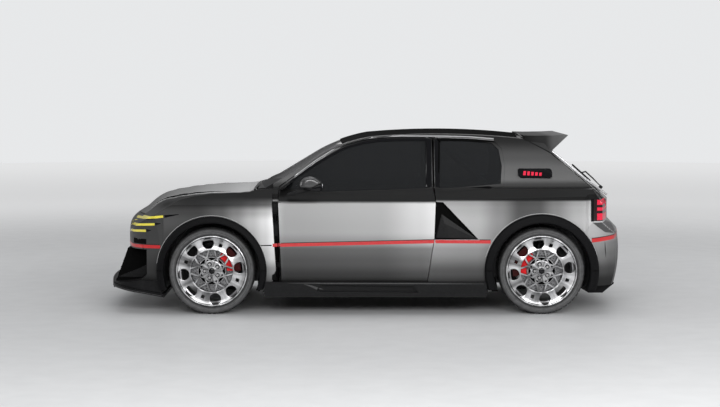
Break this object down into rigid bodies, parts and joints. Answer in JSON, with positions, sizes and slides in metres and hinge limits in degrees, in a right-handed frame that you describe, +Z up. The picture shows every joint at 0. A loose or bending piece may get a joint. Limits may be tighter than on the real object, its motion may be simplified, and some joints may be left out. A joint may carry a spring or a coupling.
{
  "type": "rally car",
  "caption": "Compact rally car with wide arches, side skirts and a roof spoiler; doors, lids, wheels and steering move.",
  "frame": {"origin": "on the ground at mid length and mid width", "axes": "+X rearward, +Y to the car's right, +Z up"},
  "size_m": [4.0797, 1.97, 1.4032],
  "materials": {
    "body_paint": "metallic graphite, gloss",
    "dark_trim": "satin",
    "tinted_glass": "dark tint, gloss",
    "chassis": "satin black",
    "lamp_yellow": "lit, gloss",
    "lamp_red": "gloss",
    "cast_block": "cast",
    "radiator_black": "matte",
    "caliper_red": "gloss",
    "exhaust_steel": "brushed",
    "seat_fabric": "woven",
    "cage_paint": "gloss",
    "interior_plastic": "matte",
    "hub_steel": "machined",
    "tyre_rubber": "matte",
    "rim_alloy": "machined",
    "disc_iron": "ground",
    "wheel_leather": "satin"
  },
  "bodies": {
    "shell": {"floor_pan": "chassis", "side_frame_left": "body_paint", "side_frame_right": "body_paint", "cowl": "dark_trim", "roof_panel": "body_paint", "front_wing_left": "body_paint", "front_wing_right": "body_paint", "front_bumper": "body_paint", "front_lip": "dark_trim", "front_grille": "dark_trim", "front_splitter": "dark_trim", "headlamps": "lamp_yellow", "side_skirts": "dark_trim", "rear_bumper": "body_paint", "rear_diffuser": "dark_trim", "tail_lamps": "lamp_red", "side_lamps": "lamp_red", "windscreen": "tinted_glass", "quarter_glass": "tinted_glass", "arch_flares": "dark_trim", "wheel_housings": "chassis", "engine": "cast_block", "radiator": "radiator_black", "front_suspension": "chassis", "rear_suspension": "chassis", "rear_calipers": "caliper_red", "exhaust": "exhaust_steel", "seats": "seat_fabric", "roll_cage": "cage_paint", "dashboard": "interior_plastic"},
    "bonnet": {"bonnet": "body_paint"},
    "tailgate": {"tailgate": "body_paint", "tailgate_glass": "tinted_glass", "roof_spoiler": "body_paint", "rear_wiper": "dark_trim"},
    "door_left": {"door_left": "body_paint", "door_glass_left": "tinted_glass", "mirror_left": "body_paint"},
    "knuckle_left": {"knuckle_left": "hub_steel", "front_caliper_left": "caliper_red"},
    "door_right": {"door_right": "body_paint", "door_glass_right": "tinted_glass", "mirror_right": "body_paint"},
    "knuckle_right": {"knuckle_right": "hub_steel", "front_caliper_right": "caliper_red"},
    "front_wheel_left": {"front_tyre_left": "tyre_rubber", "front_rim_left": "rim_alloy", "front_disc_left": "disc_iron"},
    "front_wheel_right": {"front_tyre_right": "tyre_rubber", "front_rim_right": "rim_alloy", "front_disc_right": "disc_iron"},
    "rear_wheel_left": {"rear_tyre_left": "tyre_rubber", "rear_rim_left": "rim_alloy", "rear_disc_left": "disc_iron"},
    "rear_wheel_right": {"rear_tyre_right": "tyre_rubber", "rear_rim_right": "rim_alloy", "rear_disc_right": "disc_iron"},
    "steering_wheel": {"steering_wheel": "wheel_leather"}
  },
  "joints": [
    {"name": "bonnet_hinge", "type": "hinge", "parent": "shell", "child": "bonnet", "pos_m": [-0.872, 0, 0.94], "axis": [0, 1, 0], "range_deg": [0, 60]},
    {"name": "tailgate_hinge", "type": "hinge", "parent": "shell", "child": "tailgate", "pos_m": [1.208, 0, 1.356], "axis": [0, -1, 0], "range_deg": [0, 75]},
    {"name": "door_left_hinge", "type": "hinge", "parent": "shell", "child": "door_left", "pos_m": [-0.7, -0.86, 0.56], "axis": [0, 0, -1], "range_deg": [0, 60]},
    {"name": "door_right_hinge", "type": "hinge", "parent": "shell", "child": "door_right", "pos_m": [-0.7, 0.86, 0.56], "axis": [0, 0, 1], "range_deg": [0, 60]},
    {"name": "steer_left", "type": "hinge", "parent": "shell", "child": "knuckle_left", "pos_m": [-1.19, -0.745, 0.333], "axis": [0, 0, 1], "range_deg": [-28, 28]},
    {"name": "steer_right", "type": "hinge", "parent": "shell", "child": "knuckle_right", "pos_m": [-1.19, 0.745, 0.333], "axis": [0, 0, 1], "range_deg": [-28, 28]},
    {"name": "steering_column", "type": "hinge", "parent": "shell", "child": "steering_wheel", "pos_m": [-0.181, -0.365, 0.775], "axis": [0.9272, 0, 0.3746], "range_deg": [-370, 370]},
    {"name": "front_left_spin", "type": "hinge", "parent": "knuckle_left", "child": "front_wheel_left", "pos_m": [-1.19, -0.7775, 0.333], "axis": [0, 1, 0], "continuous": true},
    {"name": "front_right_spin", "type": "hinge", "parent": "knuckle_right", "child": "front_wheel_right", "pos_m": [-1.19, 0.7775, 0.333], "axis": [0, 1, 0], "continuous": true},
    {"name": "rear_left_spin", "type": "hinge", "parent": "shell", "child": "rear_wheel_left", "pos_m": [1.35, -0.7775, 0.333], "axis": [0, 1, 0], "continuous": true},
    {"name": "rear_right_spin", "type": "hinge", "parent": "shell", "child": "rear_wheel_right", "pos_m": [1.35, 0.7775, 0.333], "axis": [0, 1, 0], "continuous": true}
  ],
  "couplings": [
    {"joint": "steer_right", "follows": "steer_left", "ratio": 1},
    {"joint": "steering_column", "follows": "steer_left", "ratio": 13}
  ]
}
